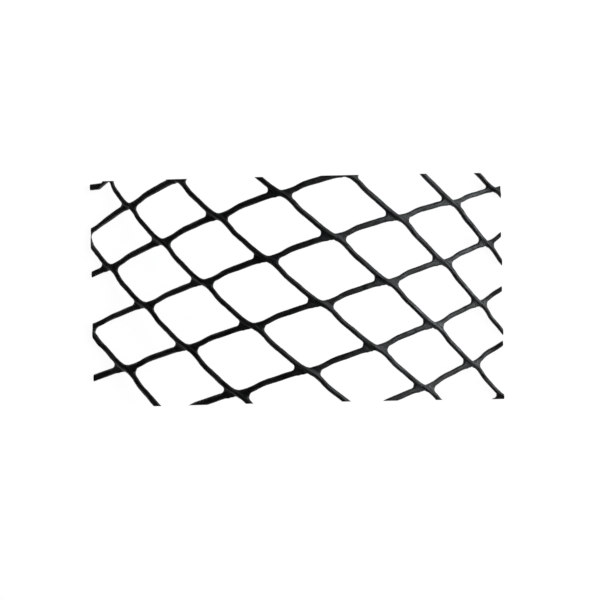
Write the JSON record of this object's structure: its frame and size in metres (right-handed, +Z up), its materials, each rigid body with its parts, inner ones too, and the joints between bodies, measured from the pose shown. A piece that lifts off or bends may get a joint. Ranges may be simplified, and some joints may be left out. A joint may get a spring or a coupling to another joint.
{
  "type": "plastic mesh netting",
  "caption": "Cut length of black extruded diamond-mesh plastic net, its two layers of strands fused where they cross, curled into a low arch that stands on both ends.",
  "frame": {"origin": "on the floor under the middle of the piece's bounding box", "axes": "+X from the left foot to the right foot, +Y towards the back edge, +Z up"},
  "size_m": [0.125, 0.069, 0.02],
  "materials": {
    "black_polyethylene": "smooth extruded, slightly glossy"
  },
  "bodies": {
    "root": {"net": "black_polyethylene"}
  },
  "joints": []
}
